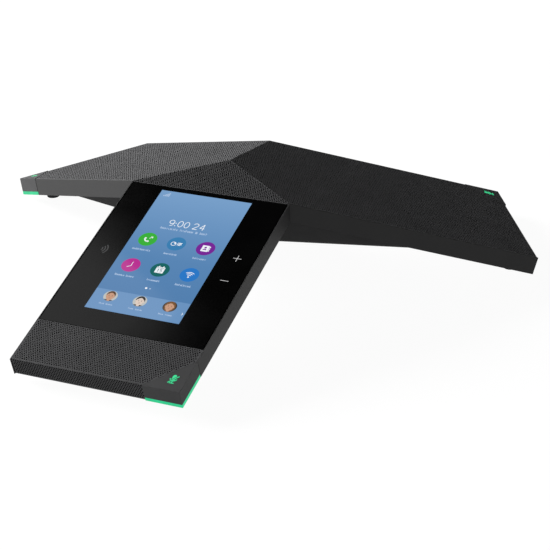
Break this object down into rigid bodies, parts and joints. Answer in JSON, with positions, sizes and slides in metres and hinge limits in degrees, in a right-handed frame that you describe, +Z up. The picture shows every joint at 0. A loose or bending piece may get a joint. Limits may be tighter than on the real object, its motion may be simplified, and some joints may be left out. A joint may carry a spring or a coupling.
{
  "type": "conference phone",
  "caption": "Low tabletop conference phone with three equal sloping legs, a tilted touch display on one leg and a lit mute key at each leg's corner.",
  "frame": {"origin": "middle of the object's footprint box on the table", "axes": "+X to the right of a user facing the display, -Y toward that user, +Z up"},
  "size_m": [0.3828, 0.3316, 0.073],
  "materials": {
    "grille_metal": "dark grey satin paint over finely perforated sheet",
    "housing_plastic": "dark grey satin moulded plastic",
    "base_plastic": "near-black fine-textured plastic",
    "key_plastic": "dark grey satin plastic",
    "light_bar": "translucent diffuser, lit mint green",
    "key_symbol": "translucent window, lit mint green",
    "foot_rubber": "matt black rubber",
    "cover_glass": "gloss cover glass with a black printed border",
    "display_module": "lit liquid crystal display",
    "sheet_metal": "bare pressed aluminium",
    "circuit_board": "green solder mask",
    "component_black": "moulded black package",
    "flex_circuit": "amber polyimide film",
    "soft_rubber": "soft black rubber",
    "can_metal": "tinned steel can",
    "speaker_paper": "treated black paper",
    "speaker_metal": "black painted steel",
    "screw_steel": "black zinc plated steel",
    "jack_plastic": "black moulded jack",
    "port_metal": "nickel plated shell",
    "plate_blank": "blank silver-grey foil"
  },
  "bodies": {
    "base": {"antenna_left": "circuit_board", "antenna_right": "circuit_board", "display_bracket": "sheet_metal", "display_cable": "flex_circuit", "display_glass": "cover_glass", "display_panel": "display_module", "foot_front_1": "foot_rubber", "foot_front_2": "foot_rubber", "foot_left_1": "foot_rubber", "foot_left_2": "foot_rubber", "foot_right_1": "foot_rubber", "foot_right_2": "foot_rubber", "grille_front": "grille_metal", "grille_hub": "grille_metal", "grille_left": "grille_metal", "grille_right": "grille_metal", "heat_spreader": "sheet_metal", "housing_screws": "screw_steel", "key_board_front": "circuit_board", "key_board_left": "circuit_board", "key_board_right": "circuit_board", "key_switch_front": "component_black", "key_switch_left": "component_black", "key_switch_right": "component_black", "lan_jack_1": "jack_plastic", "lan_jack_2": "jack_plastic", "lower_housing": "base_plastic", "main_board": "circuit_board", "microphone_boot_front": "soft_rubber", "microphone_boot_left": "soft_rubber", "microphone_boot_right": "soft_rubber", "microphone_front": "can_metal", "microphone_left": "can_metal", "microphone_right": "can_metal", "near_field_coil": "flex_circuit", "port_board": "circuit_board", "port_panel": "base_plastic", "power_module": "component_black", "processor": "component_black", "rating_plate": "plate_blank", "speaker_cone": "speaker_paper", "speaker_frame": "speaker_metal", "speaker_magnet": "speaker_metal", "speaker_surround": "soft_rubber", "upper_housing": "housing_plastic", "usb_port": "port_metal", "volume_touch_strip": "flex_circuit", "wireless_module": "component_black"},
    "front_key": {"mute_key_front": "key_plastic", "mute_symbol_front": "key_symbol", "mute_light_front": "light_bar"},
    "right_key": {"mute_key_right": "key_plastic", "mute_symbol_right": "key_symbol", "mute_light_right": "light_bar"},
    "left_key": {"mute_key_left": "key_plastic", "mute_symbol_left": "key_symbol", "mute_light_left": "light_bar"}
  },
  "joints": [
    {"name": "front_key_press", "type": "slide", "parent": "base", "child": "front_key", "axis": [0, 0, -1], "range_m": [0, 0.0008], "stiffness_N_per_m": 800, "springref_m": -0.0008},
    {"name": "right_key_press", "type": "slide", "parent": "base", "child": "right_key", "axis": [0, 0, -1], "range_m": [0, 0.0008], "stiffness_N_per_m": 800, "springref_m": -0.0008},
    {"name": "left_key_press", "type": "slide", "parent": "base", "child": "left_key", "axis": [0, 0, -1], "range_m": [0, 0.0008], "stiffness_N_per_m": 800, "springref_m": -0.0008}
  ]
}
